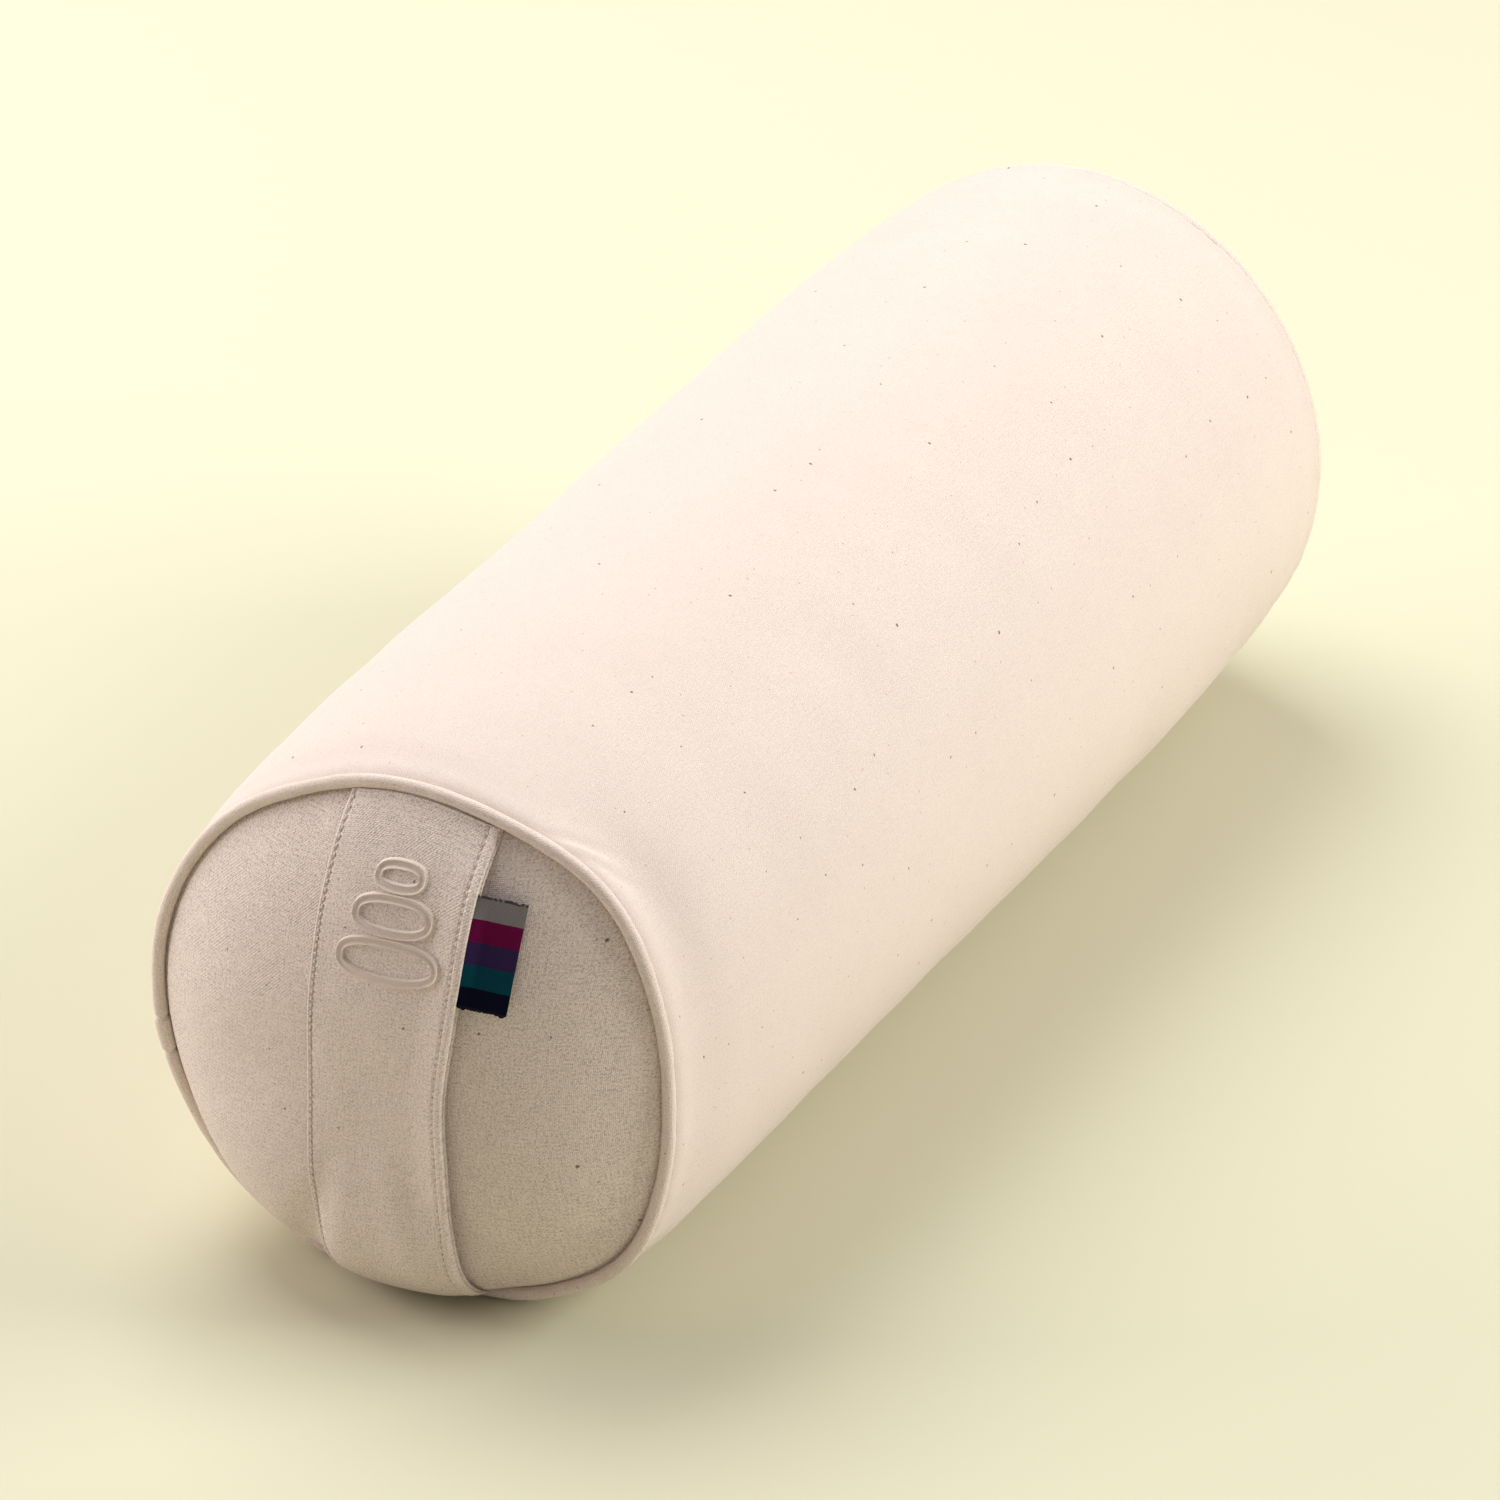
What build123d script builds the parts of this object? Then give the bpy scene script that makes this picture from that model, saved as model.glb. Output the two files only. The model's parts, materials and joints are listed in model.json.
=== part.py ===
from build123d import *
import math
import os

# Cylindrical massage and yoga bolster: a zipped cotton cover with piped, domed ends and a
# flat carry handle, over a sewn liner packed with hulls.
# Millimetres.  The roll's axis runs along Y, the handle end faces -Y, and the roll lies on
# z = 0 with the origin on the floor under the middle of its length.

# ---- driving dimensions ----
body_radius = 115.0          # the packed roll at its middle
rim_radius = 103.0           # seam circle of each end panel
seam_length = 574.0          # from one seam circle to the other
shoulder_length = 149.0      # how far the roll keeps widening behind a rim
shoulder_rise = 8.0          # how much it widens there
axis_height = 101.5          # lower than body_radius: the packed roll sags flat on the floor
dome_height = 34.0           # how far an end panel bulges out of its seam circle
dome_power = 2.7             # flat in the middle, steep at the seam
canvas = 1.2                 # cover cloth
ticking = 0.8                # liner cloth
ease = 0.2                   # room between neighbouring sewn pieces
overcut = 1.0                # how far a hollow runs past the face that it opens

piping_radius = 2.6          # covered cord around each rim
piping_core_radius = 1.5
piping_corner = 12.0         # bend where the piping leaves the floor

handle_width = 61.0
handle_offset = 6.2          # the handle is sewn a little to +X of the middle
handle_layer = 1.3           # each of its two layers
handle_slack = 1.2           # extra standoff at mid height
grip_top = 81.0              # heights above the axis between which the handle lifts as one
grip_bottom = -62.0
handle_sewn_height = 99.0    # where the upper leg is cut off, just inside the rim seam
stitch_inset = 2.6
stitch_pitch = 4.2
stitch_length = 2.8
thread = 0.4

motif_height = 64.5          # middle of the embroidery above the axis
motif_stroke = 4.6
motif_flatness = 0.75        # an outline is this much thinner above and below
motif_relief = 0.8
motif_reach = 30.0           # half the height of the band that the motif is cut from

label_low = 42.0
label_high = 79.2
label_reach = 19.0
label_thickness = 0.6
label_edge = 0.6             # the label turns this far outside the handle's edge
label_standoff = 1.9         # clears the handle's bulge when the label is turned over
label_droop = 14.0           # degrees that the label leans back towards the panel

zip_start = -180.0
zip_end = 180.0
zip_slot_half = 3.5          # half the gap between the two folded lips of the cover
slot_cut = 10.0              # depth of the cut that opens the slot
tape_width = 15.0
tape_extra = 12.0            # the tapes run on past the coils
tape_thickness = 0.6
tape_depth = 0.65            # the tapes lie this far inside the cover's cloth
coil_half = 2.3
coil_height = 2.0
coil_margin = 1.0            # the coils end this far inside the slot
stop_length = 2.4
stop_height = 0.7
slider_length = 11.0
slider_width = 9.0
slider_corner = 2.2
slider_plate = 1.4
flange_length = 6.0
flange_thickness = 0.7
bridge_span = 6.4
bridge_width = 1.6
bridge_wall = 1.0
bridge_height = 2.8
pull_length = 24.0
pull_width = 6.4
pull_bar = 0.6               # half the pull's thickness, and its round bar's radius
pull_arm = 1.1
eye_length = 5.0

liner_gap = 1.5              # between cover and liner
liner_rim_radius = 100.0
liner_end_depth = 6.0        # the liner's end discs reach this far behind the cover's rims
liner_room = 0.4             # extra room between liner and cover on the floor

# ---- values that follow from them ----
rim_y = seam_length / 2
cover_inside = body_radius - canvas
liner_radius = cover_inside - liner_gap
piping_path_radius = rim_radius + piping_radius
rim_floor = 2 * piping_radius + ease          # end panels stop above the piping on the floor
handle_left = handle_offset - handle_width / 2
handle_right = handle_offset + handle_width / 2
roll_axis = Axis((0, 0, axis_height), (0, 1, 0))
profile_plane = Plane(origin=(0, 0, axis_height), x_dir=(1, 0, 0), z_dir=(0, 0, 1))

os.makedirs("parts", exist_ok=True)


def save(solid, name):
    solid.label = name
    export_step(solid, f"parts/{name}.step")


def bulge(radius, height):
    """How far a domed end stands out of its seam plane at this distance from the axis."""
    return height * (1 - (abs(radius) / rim_radius) ** dome_power)


def dome_solid(radius, height, level, end, skirt=0.0):
    """A domed cap on one end of the roll: end is -1 at the handle, 1 at the far end."""
    steps = [radius * step / 9 for step in range(10)]
    crown = [(r, end * (rim_y + bulge(r, height))) for r in steps]
    base = end * (rim_y - skirt)
    with BuildPart() as cap:
        with BuildSketch(profile_plane):
            with BuildLine():
                arch = Spline(*crown)
                Polyline(arch @ 1, (radius, base), (0, base), arch @ 0)
            make_face()
        revolve(axis=roll_axis)
        split(bisect_by=Plane.XY.offset(level), keep=Keep.TOP)
    return cap.part


def shoulder(radius, rise, half_length, end):
    """Points of the outline over one shoulder, from the rim to the full radius."""
    length = shoulder_length - (rim_y - half_length)
    points = []
    for share in (0, 0.04, 0.15, 0.35, 0.65, 1):
        out = radius - rise + rise * math.sqrt(1 - (1 - share) ** 2)
        points.append((out, end * (half_length - share * length)))
    return points


def roll_solid(radius, rise, half_length, level):
    """The roll between its rims, widening by rise over each shoulder."""
    with BuildPart() as roll:
        with BuildSketch(profile_plane):
            with BuildLine():
                front = Spline(*shoulder(radius, rise, half_length, -1))
                back = Spline(*shoulder(radius, rise, half_length, 1))
                Line(front @ 1, back @ 1)
                Polyline(back @ 0, (0, half_length), (0, -half_length), front @ 0)
            make_face()
        revolve(axis=roll_axis)
        split(bisect_by=Plane.XY.offset(level), keep=Keep.TOP)
    return roll.part


# ---- cover: main tube, with the slot between its zip lips ----
tube_half = rim_y - piping_radius - ease
with BuildPart() as cover_tube:
    add(roll_solid(body_radius, shoulder_rise, tube_half, 0))
    hollow = roll_solid(cover_inside, shoulder_rise, tube_half + overcut, canvas)
    add(hollow, mode=Mode.SUBTRACT)
    with Locations((-body_radius, (zip_start + zip_end) / 2, axis_height)):
        Box(slot_cut, zip_end - zip_start, 2 * zip_slot_half, mode=Mode.SUBTRACT)
save(cover_tube.part, "cover_tube")


# ---- cover: domed end panels ----
def end_panel(name, end):
    with BuildPart() as panel:
        add(dome_solid(rim_radius - ease, dome_height, rim_floor, end))
        hollow = dome_solid(rim_radius - ease - canvas, dome_height - canvas,
                            rim_floor + canvas, end, skirt=overcut)
        add(hollow, mode=Mode.SUBTRACT)
    save(panel.part, name)


end_panel("front_end_panel", -1)
end_panel("rear_end_panel", 1)


# ---- cover: piping, a cord in a bias-cut sleeve around each rim ----
def piping_ring(radius, end):
    """A round cord along the rim, straight where it lies on the floor."""
    drop = axis_height - piping_radius
    plane = Plane(origin=(0, end * rim_y, axis_height), x_dir=(1, 0, 0), z_dir=(0, -1, 0))
    lowest = Plane(origin=(0, end * rim_y, piping_radius), x_dir=(0, 1, 0), z_dir=(1, 0, 0))
    with BuildSketch(plane) as rim:
        Circle(piping_path_radius)
        with Locations((0, -drop)):
            Rectangle(2 * piping_path_radius, drop, align=(Align.CENTER, Align.MAX),
                      mode=Mode.SUBTRACT)
        fillet(rim.vertices(), radius=piping_corner)
    with BuildPart() as ring:
        with BuildSketch(lowest):
            Circle(radius)
        sweep(path=rim.sketch.face().outer_wire())
    return ring.part


def piping(name, end):
    core_room = piping_core_radius + ease / 2
    with BuildPart() as sleeve:
        add(piping_ring(piping_radius, end))
        add(piping_ring(core_room, end), mode=Mode.SUBTRACT)
    save(sleeve.part, name)
    save(piping_ring(piping_core_radius, end), name + "_core")


piping("front_piping", -1)
piping("rear_piping", 1)


# ---- handle: two layers of canvas, sewn into the rim above and below ----
def handle_face(height, lift):
    """A point of the handle's profile, lift outwards from the panel."""
    ends = (height / rim_radius) ** 2
    out = bulge(height, dome_height) + handle_slack * (1 - ends) + lift
    return (-rim_y - out, height)


def handle_layer_solid(inner, outer, low, high, left=handle_left, right=handle_right):
    """A band that follows the domed panel, between two lifts and two heights."""
    heights = [low + (high - low) * step / 12 for step in range(13)]
    plane = Plane(origin=(left, 0, axis_height), x_dir=(0, 1, 0), z_dir=(1, 0, 0))
    with BuildPart() as band:
        with BuildSketch(plane):
            with BuildLine():
                back = Spline(*[handle_face(height, inner) for height in heights])
                front = Spline(*[handle_face(height, outer) for height in heights])
                Line(back @ 0, front @ 0)
                Line(back @ 1, front @ 1)
            make_face()
        extrude(amount=right - left)
    return band.part


def handle_piece(name, inner, low, high):
    end_plane = Plane(origin=(0, -rim_y, axis_height), x_dir=(1, 0, 0), z_dir=(0, -1, 0))
    with BuildPart() as seam_circle:
        with BuildSketch(end_plane):
            Circle(rim_radius - ease)
        extrude(amount=2 * dome_height)
        split(bisect_by=Plane.XY.offset(rim_floor), keep=Keep.TOP)
    with BuildPart() as piece:
        add(handle_layer_solid(inner, inner + handle_layer, low, high))
        add(seam_circle.part, mode=Mode.INTERSECT)
    save(piece.part, name)


lining_lift = 2 * ease
face_lift = lining_lift + handle_layer + ease / 2
handle_end_low = rim_floor - axis_height
joint_gap = ease / 2
for suffix, lift in (("", face_lift), ("_lining", lining_lift)):
    handle_piece("handle_grip" + suffix, lift, grip_bottom, grip_top)
    handle_piece("handle_upper_leg" + suffix, lift, grip_top + joint_gap,
                 handle_sewn_height)
    handle_piece("handle_lower_leg" + suffix, lift, handle_end_low, grip_bottom - joint_gap)
handle_outside = face_lift + handle_layer

# ---- handle: edge stitching on the grip, one row near each edge ----
stitch_count = int((grip_top - grip_bottom - stitch_pitch) / stitch_pitch)


def stitch_places(x):
    places = []
    for count in range(stitch_count):
        height = grip_bottom + stitch_pitch * (count + 1)
        y, z = handle_face(height, handle_outside + thread / 2 + ease / 2)
        y_up, z_up = handle_face(height + 1, handle_outside + thread / 2 + ease / 2)
        lean = math.degrees(math.atan2(y_up - y, z_up - z))
        places.append(Location((x, y, axis_height + z), (-lean, 0, 0)))
    return places


with BuildPart() as handle_stitching:
    for x in (handle_left + stitch_inset, handle_right - stitch_inset):
        with Locations(*stitch_places(x)):
            Box(thread, thread, stitch_length)
save(handle_stitching.part, "handle_stitching")

# ---- handle: embroidered motif, three stacked pebbles in outline ----
pebbles = [(-13.5, 21.0, 8.5), (2.5, 16.5, 7.5), (15.6, 10.5, 5.6)]
motif_plane = Plane(origin=(handle_offset, -rim_y, axis_height + motif_height),
                    x_dir=(1, 0, 0), z_dir=(0, -1, 0))
with BuildPart() as handle_motif:
    with BuildSketch(motif_plane):
        for height, across, tall in pebbles:
            with Locations((0, height)):
                Ellipse(across, tall)
                Ellipse(across - motif_stroke, tall - motif_stroke * motif_flatness,
                        mode=Mode.SUBTRACT)
    extrude(amount=2 * dome_height)
    relief = handle_layer_solid(handle_outside + ease / 2,
                                handle_outside + ease / 2 + motif_relief,
                                motif_height - motif_reach, motif_height + motif_reach)
    add(relief, mode=Mode.INTERSECT)
save(handle_motif.part, "handle_motif")

# ---- side label: a folded woven tab that turns at the handle's +X edge ----
label_lift = handle_outside + label_standoff
low_y, low_z = handle_face(label_low, label_lift)
high_y, high_z = handle_face(label_high, label_lift)
label_lean = math.atan2(high_y - low_y, high_z - low_z)
label_tall = math.hypot(high_y - low_y, high_z - low_z)
label_up = Vector(0, math.sin(label_lean), math.cos(label_lean))
label_out = Vector(0, -math.cos(label_lean), math.sin(label_lean))
droop = math.radians(label_droop)
label_across = Vector(1, 0, 0) * math.cos(droop) - label_out * math.sin(droop)
label_foot = Vector(handle_right + label_edge, low_y, axis_height + low_z)
label_plane = Plane(origin=label_foot, x_dir=label_across,
                    z_dir=label_across.cross(label_up))
foot_plane = Plane(origin=label_foot, x_dir=label_across, z_dir=label_up)
with BuildPart() as side_label:
    with BuildSketch(label_plane):
        Rectangle(label_reach, label_tall, align=(Align.MIN, Align.MIN))
    extrude(amount=label_thickness / 2, both=True)
    with BuildSketch(foot_plane):
        Circle(label_thickness / 2)
    extrude(amount=label_tall)
save(side_label.part, "side_label")
print("label hinge point", label_foot, "axis", label_up)


# ---- zip: tapes, coils and stops on the -X side ----
def zip_arc(inner_radius, outer_radius, low, high, start, end):
    """A strip along the roll, low and high measured around it from the -X side."""
    middle = (inner_radius + outer_radius) / 2
    begin = math.degrees(low / middle)
    sweep_angle = math.degrees((high - low) / middle)
    section = Plane(origin=(0, 0, axis_height), x_dir=(-1, 0, 0), z_dir=(0, 0, -1))
    section = section.rotated((0, begin, 0))
    with BuildPart() as strip:
        with BuildSketch(section):
            with Locations((middle, (start + end) / 2)):
                Rectangle(outer_radius - inner_radius, end - start)
        revolve(axis=roll_axis, revolution_arc=sweep_angle)
    return strip.part


tape_outer = cover_inside - tape_depth
tape_inner = tape_outer - tape_thickness
coil_inner = tape_outer + ease / 4
coil_outer = coil_inner + coil_height
tape_start = zip_start - tape_extra
tape_end = zip_end + tape_extra
coil_start = zip_start + coil_margin
coil_end = zip_end - coil_margin
stop_radius = coil_outer + ease / 4
coil_near = ease / 2
for side, name in ((1, "upper"), (-1, "lower")):
    edges = sorted((side * ease / 2, side * tape_width))
    save(zip_arc(tape_inner, tape_outer, *edges, tape_start, tape_end), "zip_tape_" + name)
    edges = sorted((side * coil_near, side * coil_half))
    save(zip_arc(coil_inner, coil_outer, *edges, coil_start, coil_end), "zip_coil_" + name)


def stop_solid(low, high, start):
    """A stop crimped over the outside of the coils."""
    return zip_arc(stop_radius, stop_radius + stop_height, low, high,
                   start, start + stop_length)


with BuildPart() as zip_top_stops:
    add(stop_solid(coil_near, coil_half, coil_start))
    add(stop_solid(-coil_half, -coil_near, coil_start))
save(zip_top_stops.part, "zip_top_stops")
save(stop_solid(-coil_half, coil_half, coil_end - stop_length), "zip_bottom_stop")

# ---- zip: slider with its bridge, and the pull that hinges in the bridge ----
slider_y = coil_start + coil_margin + stop_length + slider_length / 2
plate_x = -(stop_radius + stop_height + ease)     # underside of the slider's top plate
plate_top_x = plate_x - slider_plate
flange_depth = -plate_x - tape_outer - ease
flange_z = coil_half + ease + flange_thickness / 2
with BuildPart() as zip_slider:
    with Locations((plate_x - slider_plate / 2, slider_y, axis_height)):
        Box(slider_plate, slider_length, slider_width)
    fillet(zip_slider.edges().filter_by(Axis.X), radius=slider_corner)
    flange_x = plate_x + flange_depth / 2
    for side in (1, -1):
        with Locations((flange_x, slider_y, axis_height + side * flange_z)):
            Box(flange_depth, flange_length, flange_thickness)
    with Locations((plate_top_x - bridge_height / 2, slider_y, axis_height)):
        Box(bridge_height, bridge_span, bridge_width)
    with Locations((plate_top_x - (bridge_height - bridge_wall) / 2, slider_y, axis_height)):
        Box(bridge_height - bridge_wall, bridge_span - 2 * bridge_wall, bridge_width,
            mode=Mode.SUBTRACT)
save(zip_slider.part, "zip_slider")

pull_axis_x = plate_top_x - (bridge_height - bridge_wall) / 2
pull_plane = Plane(origin=(pull_axis_x, slider_y, axis_height),
                   x_dir=(0, 1, 0), z_dir=(-1, 0, 0))
bar_plane = Plane(origin=(pull_axis_x, slider_y, axis_height - pull_width / 2),
                  x_dir=(0, 1, 0), z_dir=(0, 0, 1))
with BuildPart() as zip_pull:
    with BuildSketch(pull_plane) as tab:
        Rectangle(pull_length, pull_width, align=(Align.MIN, Align.CENTER))
        fillet(tab.vertices().group_by(Axis.Y)[-1], radius=pull_width / 2 - ease)
        Rectangle(pull_bar + eye_length, pull_width - 2 * pull_arm,
                  align=(Align.MIN, Align.CENTER), mode=Mode.SUBTRACT)
    extrude(amount=pull_bar, both=True)
    with BuildSketch(bar_plane):
        Circle(pull_bar)
    extrude(amount=pull_width)
save(zip_pull.part, "zip_pull")
print("slider", slider_y, "plate top", plate_top_x, "pull axis x", pull_axis_x)

# ---- liner: the sewn inner bag ----
liner_half = rim_y - liner_end_depth
liner_level = canvas + ease + liner_room
end_level = rim_floor + canvas + ease + liner_room
with BuildPart() as liner_tube:
    add(roll_solid(liner_radius, shoulder_rise, liner_half - ease, liner_level))
    add(roll_solid(liner_radius - ticking, shoulder_rise, liner_half + overcut,
                   liner_level + ticking), mode=Mode.SUBTRACT)
save(liner_tube.part, "liner_tube")

liner_dome = dome_height - canvas - 3 * ease


def liner_end(name, end):
    with BuildPart() as disc:
        add(dome_solid(liner_rim_radius, liner_dome, end_level, end,
                       skirt=liner_end_depth))
        add(dome_solid(liner_rim_radius - ticking, liner_dome - ticking,
                       end_level + ticking, end, skirt=liner_end_depth + overcut),
            mode=Mode.SUBTRACT)
    save(disc.part, name)


liner_end("liner_front_end", -1)
liner_end("liner_rear_end", 1)

# ---- filling: hulls packed tight, as one body ----
fill_radius = liner_radius - ticking - ease
fill_rim_radius = liner_rim_radius - ticking - ease
fill_dome = liner_dome - ticking - ease
with BuildPart() as filling:
    add(roll_solid(fill_radius, shoulder_rise, liner_half - 2 * ease,
                   liner_level + ticking + ease))
    for end in (-1, 1):
        add(dome_solid(fill_rim_radius, fill_dome, end_level + ticking + ease, end,
                       skirt=2 * liner_end_depth))
save(filling.part, "filling")
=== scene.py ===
import json
import math

import bmesh
import bpy
import numpy as np
from mathutils import Matrix, Vector


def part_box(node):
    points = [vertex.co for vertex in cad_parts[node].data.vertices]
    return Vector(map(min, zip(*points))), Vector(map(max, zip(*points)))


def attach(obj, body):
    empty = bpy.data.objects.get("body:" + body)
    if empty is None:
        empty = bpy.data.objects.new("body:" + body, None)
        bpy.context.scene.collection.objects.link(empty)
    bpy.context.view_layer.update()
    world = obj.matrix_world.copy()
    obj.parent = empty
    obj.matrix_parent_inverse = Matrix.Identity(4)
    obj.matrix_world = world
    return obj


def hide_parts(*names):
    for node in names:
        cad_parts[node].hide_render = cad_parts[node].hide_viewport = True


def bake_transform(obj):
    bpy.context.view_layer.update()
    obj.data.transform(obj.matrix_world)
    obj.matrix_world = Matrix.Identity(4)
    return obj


# Looks of the bolster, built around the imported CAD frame.
# Shapes are worked out in millimetres and made in metres.  x and z are measured from the
# roll's axis, until settle() turns a height into its place over the floor.

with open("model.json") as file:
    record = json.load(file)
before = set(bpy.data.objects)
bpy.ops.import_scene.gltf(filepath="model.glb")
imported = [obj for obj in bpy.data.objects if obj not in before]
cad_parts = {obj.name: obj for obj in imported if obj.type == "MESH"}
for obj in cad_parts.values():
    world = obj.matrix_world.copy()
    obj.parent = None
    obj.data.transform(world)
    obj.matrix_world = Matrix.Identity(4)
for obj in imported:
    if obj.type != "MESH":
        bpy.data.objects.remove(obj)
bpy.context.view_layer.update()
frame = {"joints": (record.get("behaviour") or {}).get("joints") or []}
MM = 0.001
TURN = 2 * math.pi


# ---- sizes read from the frame ----
def box_mm(node):
    """The low and high corners of a CAD node's box, in millimetres."""
    return [np.array(corner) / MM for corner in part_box(node)]


piping_low, piping_high = box_mm("front_piping")
core_low, core_high = box_mm("front_piping_core")
tube_high = box_mm("cover_tube")[1]
panel_low = box_mm("front_end_panel")[0]
grip_low, grip_high = box_mm("handle_grip")
label_low, label_high = box_mm("side_label")
motif_low, motif_high = box_mm("handle_motif")
tape_low, tape_high = box_mm("zip_tape_upper")
coil_low, coil_high = box_mm("zip_coil_upper")
liner_high = box_mm("liner_tube")[1]
liner_end_high = box_mm("liner_rear_end")[1]
filling_high = box_mm("filling")[1]

PIPE = (piping_high[1] - piping_low[1]) / 2
CORE = (core_high[1] - core_low[1]) / 2
SEAM_Y = -(piping_high[1] + piping_low[1]) / 2
PIPE_PATH = piping_high[0] - PIPE
RIM = PIPE_PATH - PIPE
AXIS_Z = piping_high[2] - PIPE_PATH - PIPE
BODY = tube_high[0]
DOME = -SEAM_Y - panel_low[1]
DOME_POWER = 2.7
SHOULDER = 152.0
SEAM_STEP = 4.0  # the cover rises this much out of its seam at once
SHOULDER_RISE = BODY - RIM - SEAM_STEP
SEAM_PULL = 2.6  # the overhang pushes the seam back by this much
SAG = 8.2  # and stands out this much beside it
CANVAS = 1.2  # thickness of the cover's cloth
TICKING = 0.8  # and of the liner's
FLOOR_GAP = 0.02  # the least height of anything over the floor


# ---- grids and paths ----
def joined(*parts, axis=0):
    return np.concatenate(parts, axis)


def grid(a, b):
    return np.meshgrid(a, b, indexing="ij")


def uv_grid(a, b):
    return np.stack(grid(a, b), -1)


def full_turn(count):
    """Angles of a whole turn, without its end."""
    return np.linspace(0, TURN, count, endpoint=False)


def unit(vectors):
    return vectors / np.linalg.norm(vectors, axis=-1, keepdims=True)


def path_length(points):
    """Distance along a path, at each of its points."""
    steps = np.linalg.norm(np.diff(points, axis=0), axis=1)
    return np.append(0, np.cumsum(steps))


def rounds(path, ahead, radius, sides):
    """A ring of points about each point of a path, square to its direction."""
    side = unit(np.cross(ahead, [0.0, 1.0, 0.0]))
    across = np.cross(side, ahead)
    turn = full_turn(sides)[None, :, None]
    ring = np.cos(turn) * side[:, None] + np.sin(turn) * across[:, None]
    return path[:, None] + ring * np.reshape(radius, (-1, 1, 1))


# ---- meshes from grids of points ----
def add_object(name, data):
    piece = bpy.data.objects.new(name, data)
    bpy.context.scene.collection.objects.link(piece)
    return piece


def edit_mesh(piece, work_on):
    """Runs work_on on a piece's mesh, opened for editing."""
    work = bmesh.new()
    work.from_mesh(piece.data)
    work_on(work)
    work.to_mesh(piece.data)
    work.free()


def recalculate_normals(piece):
    edit_mesh(piece, lambda work: bmesh.ops.recalc_face_normals(work, faces=work.faces))


def smooth_object(name, vertices, faces, corner_uv):
    """A smooth mesh from vertices in millimetres, with flat coordinates at face corners."""
    mesh = bpy.data.meshes.new(name)
    mesh.from_pydata((vertices * MM).tolist(), [], faces)
    layer = mesh.uv_layers.new(name="UVMap")
    layer.data.foreach_set("uv", corner_uv.astype(np.float32).ravel())
    mesh.polygons.foreach_set("use_smooth", [True] * len(mesh.polygons))
    piece = add_object(name, mesh)
    recalculate_normals(piece)
    return piece


def grid_faces(points, uv, close_rows=False, close_columns=True, skip=None, caps=False):
    """Faces of a rows x columns grid of points, and the uv of each of their corners."""
    rows, columns = points.shape[:2]
    steps = np.arange(rows - (not close_rows)), np.arange(columns - (not close_columns))
    i, j = (index.ravel() for index in grid(*steps))
    if skip is not None:
        kept = ~skip(i, j)
        i, j = i[kept], j[kept]
    corners = [(i, j), (i + 1, j), (i + 1, j + 1), (i, j + 1)]
    faces = np.stack([(a % rows) * columns + b % columns for a, b in corners], 1).tolist()
    corner_uv = np.stack([uv[a, b] for a, b in corners], 1).reshape(-1, 2)
    if caps:
        forward = np.arange(columns)
        faces += [forward.tolist(), ((rows - 1) * columns + forward[::-1]).tolist()]
        corner_uv = joined(corner_uv, uv[0, forward], uv[rows - 1, forward[::-1]])
    return faces, corner_uv


def grid_object(name, points, uv, caps=False, cloth=0.0, **how):
    """A smooth mesh from a rows x columns grid, whose columns go around it.  uv has one more
    row or column where the grid closes on itself.  skip(row, column) leaves a face out, caps
    closes the first and last rows, and cloth is a thickness added inwards."""
    faces, corner_uv = grid_faces(points, uv, caps=caps, **how)
    piece = smooth_object(name, points.reshape(-1, 3), faces, corner_uv)
    if caps:
        edit_mesh(piece, sharpen_caps)
    if cloth:
        thicken(piece, cloth)
    return piece


def sharpen_caps(work):
    """Keeps the shading of a closed end off the cloth beside it."""
    for face in work.faces:
        if len(face.verts) > 4:
            face.smooth = False
            for edge in face.edges:
                edge.smooth = False


def thicken(piece, thickness):
    """Gives a single skin its cloth's thickness, inwards."""
    solidify = piece.modifiers.new("cloth", "SOLIDIFY")
    solidify.thickness = thickness * MM
    solidify.offset = -1
    solidify.use_even_offset = True
    graph = bpy.context.evaluated_depsgraph_get()
    baked = bpy.data.meshes.new_from_object(piece.evaluated_get(graph))
    piece.modifiers.clear()
    piece.data = baked
    baked.name = piece.name


def close_middle(piece, count):
    """Fills the small ring at the middle of a polar grid, its first row."""
    def fill(work):
        work.verts.ensure_lookup_table()
        ring = [work.verts[index] for index in range(count)]
        total = sum((corner.co for corner in ring), start=Vector())
        middle = work.verts.new(total / count)
        layer = work.loops.layers.uv.active
        for index in range(count):
            face = work.faces.new((ring[index], ring[(index + 1) % count], middle))
            face.smooth = True
            for loop in face.loops:
                loop[layer].uv = (loop.vert.co.x / MM, loop.vert.co.z / MM - AXIS_Z)
    edit_mesh(piece, fill)
    recalculate_normals(piece)


def strands_object(name, strands):
    """Separate closed strands as one object.  Each is a sections x sides grid of points."""
    faces, corner_uv = [], []
    base = 0
    for points in strands:
        uv = uv_grid(path_length(points[:, 0]), np.arange(points.shape[1] + 1))
        strand, strand_uv = grid_faces(points, uv, caps=True)
        faces += [[base + corner for corner in face] for face in strand]
        corner_uv.append(strand_uv)
        base += points.shape[0] * points.shape[1]
    vertices = np.concatenate([points.reshape(-1, 3) for points in strands])
    return smooth_object(name, vertices, faces, np.concatenate(corner_uv))


# ---- shape of the roll ----
def ease(value, low, high):
    """0 up to low and 1 from high on, with a smooth way between them."""
    share = np.clip((value - low) / (high - low), 0, 1)
    return share * share * (3 - 2 * share)


def bump(value, middle, width):
    return np.exp(-((value - middle) / width) ** 2)


def turned_by(angle, where):
    """The angle from where to angle, between minus and plus half a turn."""
    return np.angle(np.exp(1j * (angle - where)))


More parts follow.
